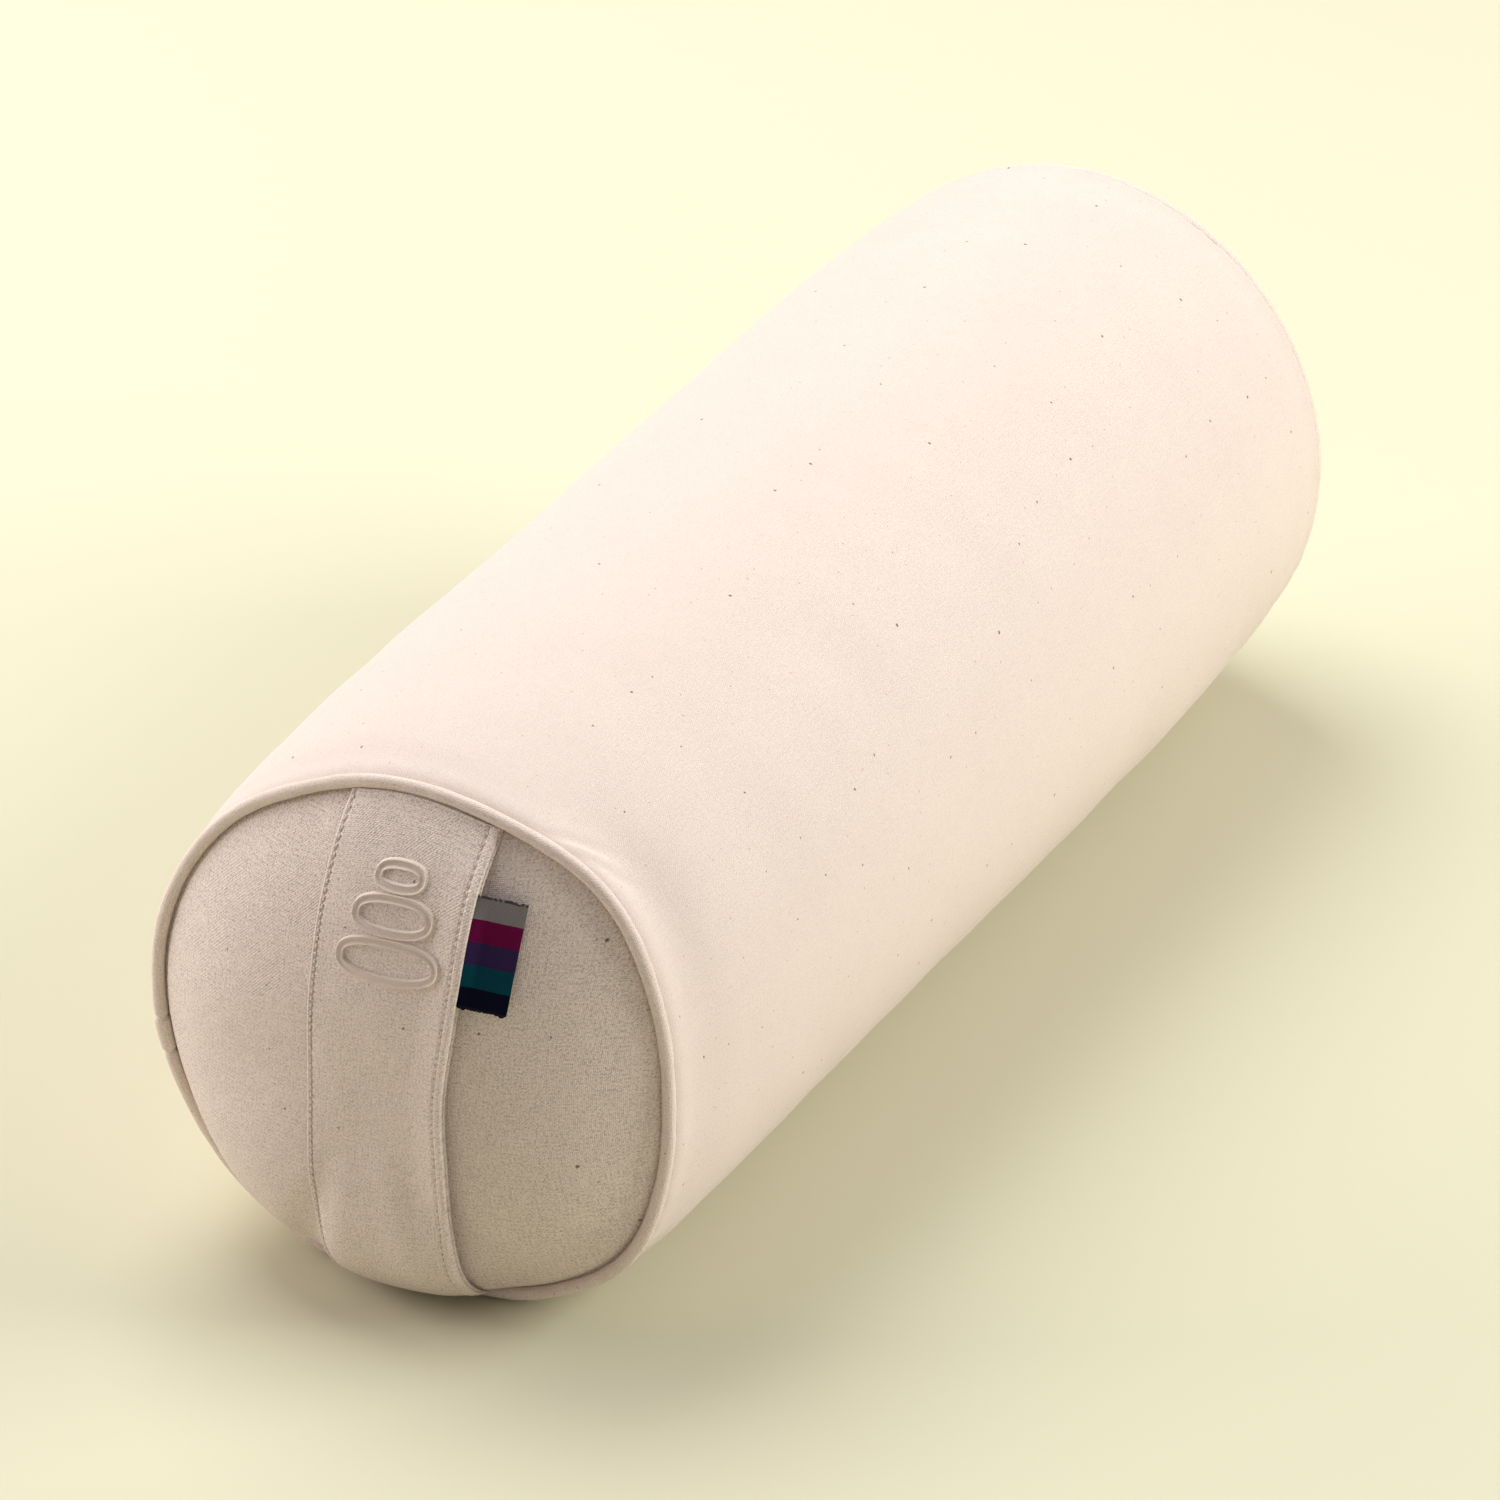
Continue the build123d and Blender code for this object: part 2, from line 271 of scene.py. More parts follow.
def waves(a, b, seed, shortest, longest):
    """A gentle irregular surface between about -1 and 1 over the two lengths a and b."""
    count = 14
    random = np.random.default_rng(seed)
    total = np.zeros(np.broadcast(a, b).shape)
    for _ in range(count):
        length = math.exp(random.uniform(math.log(shortest), math.log(longest)))
        heading = random.uniform(0, TURN)
        phase = random.uniform(0, TURN)
        across = a * math.cos(heading) + b * math.sin(heading)
        total += np.sin(TURN * across / length + phase)
    return total / math.sqrt(count)


def settle(z, clearance, softness):
    """Presses heights from the axis up to the floor, softly, and returns real heights."""
    floor = clearance - AXIS_Z
    depth = np.clip((z - floor) / softness, -40, 40)
    pressed = np.where(depth > 39, z, floor + softness * np.log1p(np.exp(depth)))
    return np.maximum(pressed + AXIS_Z, FLOOR_GAP)


def overhang(x, z):
    """1 where the filling hangs over an end's seam, low on the -X side, and 0 elsewhere."""
    down = np.degrees(np.arctan2(-z, -x))
    beside_handle = 1 - 0.5 * bump(down, 68, 7)
    return ease(down, 6, 50) * (1 - ease(down, 100, 122)) * beside_handle


def rim_shape(angle, y):
    """How far each end's seam strays from a true circle, outwards."""
    degrees = np.degrees(angle)
    front = 7.2 * bump(degrees, 44, 20) + 5.2 * bump(degrees, -38, 18) - bump(degrees, 2, 11)
    front = front - 1.6 * bump(degrees, 115, 13)
    rear = 2.2 * bump(degrees, 95, 28) - 2.5 * bump(degrees, 8, 34)
    return np.where(y < 0, front, rear)


def settle_roll(x, y, z, inside=0.0):
    """Where a point of the roll's surface comes to rest, or of a surface inside it."""
    behind = SEAM_Y - np.abs(y)
    radius = np.maximum(np.hypot(x, z), 1.0)
    near_rim = np.exp(-np.maximum(behind, 0) / 45) * np.minimum(radius / RIM, 1) ** 2
    grow = 1 + rim_shape(np.arctan2(z, x), y) * near_rim / radius
    hanging = overhang(x, z)
    on_piping = 1 - ease(behind, -1.0, 9.0)
    on_piping = on_piping * (1 - hanging * ease(-behind, 0.5, 7.0))
    clearance = 2 * PIPE * on_piping - 0.6 + inside
    softness = 3.5 + 2.5 * ease(behind, 0.0, 40.0)
    beside_seam = np.exp(-np.maximum(behind, 0) / 25)
    beside_seam = beside_seam * (1 - ease(RIM - radius, 0, 7))
    y = y - np.sign(y) * SEAM_PULL * hanging * beside_seam
    z = settle(z * grow, clearance, softness)
    return np.stack(np.broadcast_arrays(x * grow, y, z), -1)


def roll_radius(behind):
    """Radius of the cover, by distance behind its seam circle."""
    share = np.clip(behind / SHOULDER, 0, 1)
    swell = SHOULDER_RISE * np.sqrt(1 - (1 - share) ** 2)
    return RIM + swell + SEAM_STEP * (1 - np.exp(-np.maximum(behind, 0) / 2.2))


def dome(radius):
    """How far an end panel stands out of its seam plane."""
    return DOME * (1 - np.clip(np.abs(radius) / RIM, 0, 1) ** DOME_POWER)


def panel_sag(x, z):
    """The filling settles, so an end stands out more low down, and over its seam."""
    inside = np.maximum(RIM - np.hypot(x, z), 0)
    settled = 2.5 * ease(-z, -20, 90) * ease(inside, 0, 30)
    over_seam = (1 - np.exp(-inside / 4.5)) * (1 - ease(inside, 12, 85))
    return settled + SAG * overhang(x, z) * over_seam


# ---- cover tube ----
SLOT_HALF = 3.5
ZIP_START = coil_low[1] - 1.0
ZIP_END = coil_high[1] + 1.0
LIP_STITCH = 7.2  # the zip's topstitching, from the middle of the zip
ZIP_EASE = 9.0  # length over which the lips close beyond the zip


def gathers(angle, behind, seed, count, reach):
    """Short gathers that run back from a seam, each at its own angle."""
    random = np.random.default_rng(seed)
    total = np.zeros(np.broadcast(angle, behind).shape)
    for _ in range(count):
        where = random.uniform(-math.pi, math.pi)
        width = random.uniform(0.014, 0.032)
        depth = random.uniform(-0.55, 0.35)
        length = random.uniform(0.4, 1.0) * reach
        fade = np.exp(-behind / length) * ease(behind, 0.0, 4.0)
        total += depth * bump(turned_by(angle, where), 0, width) * fade
    return total


def tube_relief(angle, y):
    """Undulations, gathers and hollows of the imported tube, in millimetres outwards."""
    behind = SEAM_Y - np.abs(y)
    front = y < 0
    around = angle * BODY
    beside_zip = bump(turned_by(angle, math.pi), 0, 0.22)
    relief = 0.6 * waves(np.cos(angle) * BODY + 0.4 * y, np.sin(angle) * BODY, 3, 90, 260)
    relief += 0.2 * waves(around * 0.35 + y, np.cos(angle * 2) * 30, 4, 35, 90)
    relief *= ease(behind, 2.0, 40.0) * (1 - 0.8 * beside_zip)
    relief += gathers(angle, behind, 11, 90, 16.0) * (1 - beside_zip)
    hollow = 2.4 * bump(angle, 0.1, 0.5) + 3.2 * bump(angle, 0.72, 0.33)
    relief -= np.where(front, hollow * bump(behind, 22, 13), 0)
    for where, depth, width in ((0.97, -0.8, 0.04), (1.04, 0.6, 0.03), (1.11, -1.3, 0.035)):
        slanted = angle - where + 0.013 * behind
        crease = bump(slanted, 0, width) * bump(behind, 12, 7)
        relief += np.where(front, depth * crease, 0)
    relief -= 0.9 * bump(behind, 13, 7) * (0.7 + 0.3 * np.cos(3 * angle))
    relief += np.where(front, 0, 1.3 * bump(behind, 3, 3))
    relief -= 1.1 * bump(y, -50, 55) * bump(turned_by(angle, 2.2), 0, 0.4)
    return relief


def tube_rows():
    near = np.array([1.2, 1.8, 2.6, 3.4, 4.3, 5.4, 6.8, 8.4, 10.2, 12.4, 15, 18, 21.5, 25.5,
                     30, 35, 40.5, 46.5])
    middle = np.linspace(-SEAM_Y + 53, SEAM_Y - 53, 97)
    middle = middle[(np.abs(middle - ZIP_START) > 2) & (np.abs(middle - ZIP_END) > 2)]
    rows = joined(near - SEAM_Y, middle, [ZIP_START, ZIP_END], SEAM_Y - near)
    return np.sort(rows)


def tube_columns():
    """Distances around the tube from the zip, in millimetres, closer together beside it."""
    around = TURN * BODY
    lips = np.array([0.0, SLOT_HALF, 3.8, 4.3, 5.0, 6.2, LIP_STITCH, 8.2, 10.0, 12.0])
    plain = np.linspace(14.0, around - 14.0, 440)
    return joined(lips, plain, (around - lips[1:])[::-1])


def tube_point(y, offset):
    """A point of the tube's outer face; offset is its distance around from the zip."""
    opening = ease(y, ZIP_START - ZIP_EASE, ZIP_START)
    opening = opening * (1 - ease(y, ZIP_END, ZIP_END + ZIP_EASE))
    reach = np.abs(offset)
    closed = (1 - opening) * (SLOT_HALF - 0.25) * np.exp(-(reach - SLOT_HALF).clip(0) / 8)
    offset = np.where(reach > 0.1, offset - np.sign(offset) * closed, offset)
    angle = turned_by(math.pi + offset / BODY, 0)
    radius = roll_radius(SEAM_Y - np.abs(y)) + tube_relief(angle, y)
    reach = np.abs(offset)
    fold = 0.55 * (reach < SLOT_HALF + 0.1) * opening
    groove = 0.9 * np.exp(-(reach / 0.8) ** 2) * (1 - opening)
    stitched = 0.35 * bump(reach, LIP_STITCH, 0.8)
    radius += 0.5 * bump(reach, 5.2, 1.6) - fold - groove - stitched
    return settle_roll(radius * np.cos(angle), y, radius * np.sin(angle))


def build_tube():
    rows, columns = tube_rows(), tube_columns()
    around = TURN * BODY
    signed = np.where(columns > around / 2, columns - around, columns)
    y, offset = grid(rows, signed)
    uv = uv_grid(rows, np.append(columns, around))

    def in_slot(i, j):
        inside = (rows[i] > ZIP_START - 0.5) & (rows[i] < ZIP_END - 0.5)
        return inside & ((j == 0) | (j == len(columns) - 1))

    return grid_object("cover_tube_cloth", tube_point(y, offset), uv, skip=in_slot,
                       cloth=CANVAS)


# ---- end panels ----
def panel_relief(x, z, end):
    """Soft unevenness of a stuffed end, in millimetres outwards."""
    angle = np.arctan2(z, x)
    inside = RIM - np.hypot(x, z)
    relief = 0.5 * waves(x, z, 20 + end, 60, 150) * ease(inside, 4, 40)
    relief += 0.8 * gathers(angle, inside, 31 + end, 70, 9.0)
    relief -= 1.3 * np.exp(-(inside.clip(0) / 1.6) ** 2)
    if end < 0:
        relief += 0.8 * bump(angle, 1.85, 0.05) * bump(inside, 9, 8)
    return relief


def disc_object(name, end, x, z, out, inside, thickness):
    """A disc of cloth across an end, from its middle outwards; out is past the seam."""
    points = settle_roll(x, end * (SEAM_Y + out), z, inside)
    uv = np.stack([x, z], -1)
    piece = grid_object(name, points, joined(uv, uv[:, :1], axis=1))
    close_middle(piece, x.shape[1])
    thicken(piece, thickness)
    return piece


def build_panel(name, end):
    shares = joined(np.linspace(0.02, 0.8, 40), np.linspace(0.81, 0.955, 16),
                    np.linspace(0.962, 1.0, 14))
    share, angle = grid(shares, full_turn(300))
    radius = share * (RIM + 0.6)
    x, z = radius * np.cos(angle), radius * np.sin(angle)
    out = dome(radius) + panel_relief(x, z, end) + panel_sag(x, z)
    return disc_object(name, end, x, z, out, 0.0, CANVAS)


# ---- piping ----
PIPING_JOIN = math.pi + 0.21  # angle at which the sleeve's ends lap
LAP = 7.0  # half the length of that lap


def build_ring(name, end, radius, join):
    """A cord along a rim, settled on the floor.  join adds the sleeve's lapped end."""
    sides = 20
    angle = full_turn(900)
    length = angle * PIPE_PATH
    wobble = 0.35 * waves(np.cos(angle) * 100, np.sin(angle) * 100, 40 + end, 40, 160)
    reach = PIPE_PATH + 0.3 * wobble + rim_shape(turned_by(angle, 0), end)
    z = settle(reach * np.sin(angle), PIPE - 0.4, 3.5)
    pulled = SEAM_PULL * overhang(np.cos(angle), np.sin(angle))
    path = np.stack([reach * np.cos(angle), end * (SEAM_Y + wobble - pulled), z], -1)
    ahead = unit(np.roll(path, -1, 0) - np.roll(path, 1, 0))
    thick = radius * (1 + 0.035 * waves(length, 0 * length, 50 + end, 9, 60))
    if join:
        from_join = np.abs(length - PIPING_JOIN * PIPE_PATH)
        thick = thick + 0.3 * (from_join < LAP) - 0.8 * bump(from_join, LAP, 0.8)
    points = rounds(path, ahead, thick, sides)
    points[..., 2] = np.maximum(points[..., 2], FLOOR_GAP)
    u = np.append(length, TURN * PIPE_PATH)
    uv = uv_grid(u, np.linspace(0, TURN * radius, sides + 1))
    return grid_object(name, points, uv, close_rows=True)


# ---- handle ----
HANDLE_LEFT, HANDLE_RIGHT = grip_low[0], grip_high[0]
HANDLE_WIDE = HANDLE_RIGHT - HANDLE_LEFT
SPLIT = 8.0  # height at which the handle's upper and lower halves meet
SPLIT_SHARE = (SPLIT + RIM) / (2 * RIM)
HEM = 5.5  # width of the turned edge on the left
STITCH_PITCH = 2.9
STITCH_RADIUS = 0.36
LEFT_STITCH = 2.4  # rows of stitches, from each edge
RIGHT_STITCH = 3.5
FACE_TOP = 2.5  # the face's outside over the surface it lies on


def left_edge(z):
    """The handle's -X edge, which drifts towards the middle near the upper rim."""
    return HANDLE_LEFT - 0.4 + 2.2 * (np.clip(z, 0, None) / RIM) ** 4


def right_edge(z):
    """The handle's +X edge, which runs further out over its upper half."""
    return HANDLE_RIGHT - 4.5 + 5.2 * ease(z, -10, 70)


def handle_base(x, z):
    """Distance out of the seam plane of the surface that the handle lies on."""
    inside = RIM - np.hypot(x, z)
    stiff = 0.5 + 0.5 * ease(-inside, -16, -1)
    from_left = x - left_edge(z)
    standoff = 0.9 * ease(inside, 1, 25) * ease(from_left, 1, 16)
    near_right = ease(x, right_edge(z) - 15, right_edge(z))
    lifted_edge = 2.2 * near_right * ease(inside, 4, 40)
    ripple = 0.3 * waves(x, z, 61, 30, 110) * ease(inside, 3, 25)
    return dome(np.hypot(z, x * stiff)) + panel_sag(x, z) + standoff + lifted_edge + ripple


def handle_point(x, z, lift):
    return settle_roll(x, -(SEAM_Y + handle_base(x, z) + lift), z)


def handle_height(x, share):
    """Height at a share of the way between the handle's sewn ends."""
    end = np.sqrt((RIM + 0.4) ** 2 - x ** 2)
    return end * (2 * share - 1)


def handle_place(across, beside, share):
    """x and z on the handle.  across goes from its left edge, 0, to its right, 1."""
    x = across * HANDLE_RIGHT + (1 - across) * HANDLE_LEFT + beside
    for _ in range(3):
        z = handle_height(x, share)
        x = across * right_edge(z) + (1 - across) * left_edge(z) + beside
    return x, z


def face_heights(from_left, from_right):
    """Bottom and top of the handle's face, with its turned edges."""
    left_hem = 1 - ease(from_left, HEM - 1.4, HEM)
    left_fold = bump(from_left, 1.1, 0.85)
    right_roll = 1 - ease(from_right, RIGHT_STITCH - 0.8, RIGHT_STITCH)
    edge = np.clip(1 - np.minimum(from_left, from_right) / 1.1, 0, 1) ** 2
    top = FACE_TOP + 0.2 * left_hem + 0.15 * left_fold + 0.8 * right_roll - 1.1 * edge
    top = top - 0.7 * (1 - ease(from_left, 1, 7))
    top = top - 0.12 * bump(from_left, LEFT_STITCH, 0.6)
    top = top - 0.3 * bump(from_right, RIGHT_STITCH, 0.6)
    bottom = 1.3 - 1.0 * np.maximum(left_hem, right_roll) + 0.9 * edge
    return bottom, top


def face_columns():
    """The face's columns, as (across, beside, from left, from right)."""
    edge = np.array([0, 0.25, 0.6, 1.0, 1.4, 1.8, 2.1, 2.4, 2.7, 3.1, 3.5, 3.9, 4.5, 5.3, 6.5])
    middle = np.linspace(0.14, 0.86, 32)
    across = joined(0 * edge, middle, 1 + 0 * edge)
    beside = joined(edge, 0 * middle, -edge[::-1])
    from_left = joined(edge, middle * HANDLE_WIDE, HANDLE_WIDE - edge[::-1])
    return across, beside, from_left, HANDLE_WIDE - from_left


def stitch_span(lower, upper):
    """Heights between which a part of the handle is stitched."""
    return (2 * lower - 1) * RIM + 1, (2 * upper - 1) * RIM - 1


def needle_holes(share, lower, upper):
    """1 where the thread dives between two stitches, and 0 along each stitch."""
    start, end = stitch_span(lower, upper)
    count = int((end - start) / STITCH_PITCH)
    place = ((2 * share - 1) * RIM - start) / (end - start) * count
    return bump((place - np.round(place)) * STITCH_PITCH, 0, 0.55)


def build_band(name, columns, bottom, top, lower, upper, holes=0.0, spacing=1.6):
    """A closed band of the handle, from its columns and their heights over the panel.
    holes is how deep each column is dimpled between its stitches."""
    across, beside, flat = columns
    count = int((upper - lower) * 2 * RIM / spacing) + 1
    shares = np.linspace(lower, upper, count)
    around = joined(np.arange(len(across)), np.arange(len(across))[::-1])
    share = shares[:, None]
    x, z = handle_place(across[around][None, :], beside[around][None, :], share)
    lift = joined(top, bottom[::-1])[None, :]
    dimples = joined(holes + 0 * top, 0 * bottom)[None, :]
    points = handle_point(x, z, lift - dimples * needle_holes(share, lower, upper))
    width = flat[-1] - flat[0]
    flat_around = joined(flat, 2 * width - flat[::-1], [2 * width])
    along = np.repeat(handle_height(0.0, share), len(flat_around), 1)
    uv = np.stack([np.broadcast_to(flat_around, along.shape), along], -1)
    return grid_object(name, points, uv, caps=True)


def build_face(name, lower, upper):
    across, beside, from_left, from_right = face_columns()
    bottom, top = face_heights(from_left, from_right)
    holes = 0.8 * (bump(from_left, LEFT_STITCH, 0.45) + bump(from_right, RIGHT_STITCH, 0.45))
    return build_band(name, (across, beside, from_left), bottom, top, lower, upper, holes, 0.7)


def build_lining(name, lower, upper):
    """The band under the face, which peeps out a little along the face's right edge."""
    across = joined([0.06], np.linspace(0.1, 0.9, 26), [1.0, 1.0, 1.0])
    beside = joined(0 * across[:-3], [-1.4, 0.2, 0.7])
    flat = across * HANDLE_WIDE + beside
    bottom = 0.25 + 0 * flat
    top = joined(1.15 + 0 * flat[:-3], [0.95, 0.85, 0.6])
    top = np.minimum(top, bottom + 0.9)
    under_roll = ease(flat, flat[-1] - 7, flat[-1] - 4)
    top = top - 0.75 * under_roll * (top - bottom - 0.35)
    bottom = bottom - 0.35 * under_roll
    return build_band(name, (across, beside, flat), bottom, top, lower, upper)


def follow_handle(piece):
    """Bakes a handle piece's transform into its mesh."""
    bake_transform(piece)


# ---- stitches ----
def stitch(middle, ahead, out, length):
    """One stitch: a short thread that dives into the cloth at both ends."""
    side = unit(np.cross(ahead, out))
    t = np.linspace(-1, 1, 7)
    line = middle + ahead * (t * length / 2)[:, None] + out * (-(t ** 4) * 0.6)[:, None]
    turn = full_turn(7)
    size = STITCH_RADIUS * (1 - 0.4 * t ** 4)
    ring = np.cos(turn)[:, None] * side + np.sin(turn)[:, None] * out
    return line[:, None] + ring[None] * size[:, None, None]


def stitch_row(name, surface, start, end, outward, pitch=STITCH_PITCH, length=1.8):
    """Stitches from start to end along the first value of surface(a, b), where b is 0."""
    count = int((end - start) / pitch)
    strands = []
    for a in start + (np.arange(count) + 0.5) * (end - start) / count:
        here = surface(a, 0.0)
        ahead = unit(surface(a + 0.5, 0.0) - here)
        out = unit(np.cross(surface(a, 0.5) - here, ahead))
        strands.append(stitch(here, ahead, -out if out @ outward < 0 else out, length))
    return strands_object(name, strands)


def handle_stitches(name, right, lower, upper):
    inset = -RIGHT_STITCH if right else LEFT_STITCH
    across = 1.0 if right else 0.0
    from_left = HANDLE_WIDE - RIGHT_STITCH if right else LEFT_STITCH
    top = face_heights(from_left, HANDLE_WIDE - from_left)[1]

    def surface(height, beside):
        share = (height + RIM) / (2 * RIM)
        x, z = handle_place(across, inset + beside, share)
        return handle_point(x, z, top + STITCH_RADIUS)

    return stitch_row(name, surface, *stitch_span(lower, upper), (0, -1, 0))


# ---- embroidered motif: three pebbles in outline ----
PEBBLES = ((-13.5, 21.0, 8.5), (2.5, 16.5, 7.5), (15.6, 10.5, 5.6))
PEBBLE_POWER = 2.5  # 2 is an ellipse, and more is a rounder rectangle
MOTIF_BAND = 3.6
MOTIF_X = (motif_low[0] + motif_high[0]) / 2 + 1.3
MOTIF_Z = motif_high[2] - AXIS_Z - PEBBLES[2][0] - PEBBLES[2][2]


def pebble_outline(wide, high, steps):
    """Evenly spaced points around a pebble, and their outward directions."""
    angle = np.linspace(0, TURN, 2400)
    reach = (np.abs(np.cos(angle) / wide) ** PEBBLE_POWER
             + np.abs(np.sin(angle) / high) ** PEBBLE_POWER) ** (-1 / PEBBLE_POWER)
    x, z = reach * np.cos(angle), reach * np.sin(angle)
    length = np.append(0, np.cumsum(np.hypot(np.diff(x), np.diff(z))))
    even = np.linspace(0, length[-1], steps, endpoint=False)
    x, z = np.interp(even, length, x), np.interp(even, length, z)
    ahead_x = np.roll(x, -3) - np.roll(x, 3)
    ahead_z = np.roll(z, -3) - np.roll(z, 3)
    size = np.hypot(ahead_x, ahead_z)
    return x, z, ahead_z / size, -ahead_x / size, length[-1]


def build_pebble(name, height, across, tall):
    """One outline in satin stitch: a band between raised borders, ribbed by its threads."""
    half = MOTIF_BAND / 2
    steps = int(2.2 * (across + tall) / 0.1)
    x, z, out_x, out_z, around = pebble_outline(across - half, tall - half, steps)
    place = np.linspace(-1, 1, 21)[None, :]
    reach = place * half
    x = MOTIF_X + x[:, None] + out_x[:, None] * reach
    z = MOTIF_Z + height + z[:, None] + out_z[:, None] * reach
    border = bump(np.abs(place), 0.72, 0.22)
    length = np.linspace(0, around, steps, endpoint=False)[:, None]
    rib = 0.07 * np.sin(TURN * (length / 0.6 + 0.35 * place))
    edge = ease(np.abs(place), 0.9, 1.0)
    lift = FACE_TOP + 0.25 + 0.95 * border + rib * (1 - edge) - 0.75 * edge
    top = handle_point(x, z, lift)
    under = handle_point(x[:, ::-1], z[:, ::-1], FACE_TOP - 0.55)
    points = joined(top, under, axis=1)
    u = np.linspace(0, around, steps + 1)
    v = np.linspace(0, 2 * MOTIF_BAND, points.shape[1] + 1)
    return grid_object(name, points, uv_grid(u, v), close_rows=True)


# ---- side label ----
LABEL_HALF = 0.35  # half its thickness, outside its two layers
LABEL_LAYER = 0.28
LABEL_INWARD = 2.4  # it hangs this far inside its turning axis
LABEL_DROOP = math.radians(14)  # its free end leans this far towards the panel
LABEL_SEWN = 2.0  # its root is this far inside the handle's edge


def build_label():
    """A woven tape folded in two; the fold hangs free and the ends are in the handle's hem."""
    joint = [item for item in frame["joints"] if item["name"] == "label_flip"][0]
    foot = np.array(joint["pos_m"]) / MM
    up = -unit(np.array(joint["axis"]))
    flat_out = np.array([0.0, -up[2], up[1]])
    cosine, sine = math.cos(LABEL_DROOP), math.sin(LABEL_DROOP)
    across = np.array([1.0, 0, 0]) * cosine - flat_out * sine
    out = np.array([1.0, 0, 0]) * sine + flat_out * cosine
    reach = (label_high[0] - foot[0]) / cosine
    tall = (label_high[2] - label_low[2]) / up[2]
    fold = np.linspace(0, math.pi, 9)
    way = joined(np.linspace(0, 1, 34), 1 + 0 * fold[1:-1], np.linspace(1, 0, 34))
    side = joined(1 + np.zeros(33), np.cos(fold), -1 + np.zeros(33))
    round_tip = joined(np.zeros(34), np.sin(fold[1:-1]), np.zeros(34))
    share, place = grid(np.linspace(0, 1, 64), way)
    root_z = foot[2] - AXIS_Z + share * tall * up[2]
    root_s = (right_edge(root_z) - foot[0]) / cosine - LABEL_SEWN
    tip_s = reach - LABEL_HALF + 1.6 * (share - 0.45)
    s = root_s + place * (tip_s - root_s) + LABEL_HALF * round_tip[None, :]
    wave = 0.55 * np.sin(3.0 * share + 0.5) * ease(s, 0, reach)
    curl = LABEL_INWARD + 0.03 * np.clip(s, 0, None) ** 1.5
    cut = 0.45 * waves(s, 0 * s, 77, 1.3, 4) * (bump(share, 0, 0.02) + bump(share, 1, 0.02))
    height = share * tall - 0.05 * s + cut
    offset = wave - curl + LABEL_HALF * side[None, :]
    points = foot + s[..., None] * across + height[..., None] * up + offset[..., None] * out
    under = -(SEAM_Y + handle_base(points[..., 0], points[..., 2] - AXIS_Z) + 1.9)
    back = (under - points[..., 1]) / out[1] + LABEL_HALF * side[None, :]
    sewn = 1 - ease(s - root_s, 2.0, 8.0)
    points = points + (back * sewn)[..., None] * out
    length = path_length(points[32])
    uv = np.stack([np.broadcast_to(length, share.shape), share], -1)
    piece = grid_object("side_label_tab", points, uv, close_columns=False, cloth=LABEL_LAYER)
    return piece, foot, across, (tall, length[-1])


# ---- zip ----
TAPE_OUTER = -tape_low[0]
TAPE_WIDTH = 14.6
TAPE_THICK = 0.6
COIL_PITCH = 1.42
COIL_WIRE = 0.3
COIL_OUTER = -coil_low[0]
COIL_REACH = coil_high[2] - AXIS_Z


def zip_point(y, offset, radius):
    """A point at a distance around from the middle of the zip, up for a positive one."""
    angle = math.pi - offset / BODY
    x, y, z = np.broadcast_arrays(radius * np.cos(angle), y, radius * np.sin(angle) + AXIS_Z)
    return np.stack([x, y, z], -1)


def build_tape(name, side):
    y_rows = np.linspace(tape_low[1], tape_high[1], 220)
    out = np.array([0.25, 1, 2, 3, 4, 5, 6.5, 8, 9.5, 11, 12.5, 13.6, TAPE_WIDTH])
    y, offset = grid(y_rows, side * out)
    wavy = 0.12 * waves(y, offset, 70 + side, 25, 90) * ease(np.abs(offset), 2, 6)
    points = zip_point(y, offset, TAPE_OUTER - 0.15 + wavy)
    uv = np.stack([y, offset], -1)
    piece = grid_object(name, points, uv, close_columns=False)
    if piece.data.polygons[0].normal.x > 0:
        piece.data.flip_normals()
    thicken(piece, TAPE_THICK - 0.2)
    return piece


def build_coil(name, side):
    """One side's nylon spiral, flattened, half a pitch away from the other side's."""
    turns = int((coil_high[1] - coil_low[1]) / COIL_PITCH)
    steps = 14
    t = np.arange(turns * steps + 1) / steps
    start = coil_low[1] + (0.25 if side > 0 else 0.75) * COIL_PITCH
    middle = (COIL_REACH - 0.35) / 2
    half_wide = (COIL_REACH + 0.2) / 2 - COIL_WIRE / 2
    half_high = (COIL_OUTER - TAPE_OUTER) / 2 - COIL_WIRE
    swing = np.cos(TURN * t)
    rise = np.sin(TURN * t)
    wide = np.sign(swing) * np.abs(swing) ** 0.8 * half_wide
    high = np.sign(rise) * np.abs(rise) ** 0.7 * half_high
    y = start + (t + 0.25 * swing * side * 0.3) * COIL_PITCH * 0.995
    path = zip_point(y, side * (middle + wide), TAPE_OUTER + COIL_WIRE + half_high + high)
    ahead = unit(np.gradient(path, axis=0))
    return strands_object(name, [rounds(path, ahead, COIL_WIRE, 7)])


def zip_stitches(name, side):
    def surface(y, beside):
        return tube_point(y, side * (LIP_STITCH + beside))

    return stitch_row(name, surface, ZIP_START - ZIP_EASE, ZIP_END + ZIP_EASE, (-1, 0, 0))


def zip_end_stitches(name, y):
    """A short row across each end of the zip, in a closed rectangle with the long rows."""
    def surface(offset, beside):
        return tube_point(y + beside, offset)

    return stitch_row(name, surface, -LIP_STITCH, LIP_STITCH, (-1, 0, 0), 2.6, 2.1)


# ---- liner and filling ----
INNER_ROUND = 110.0  # radius at which cloth inside the cover is laid flat


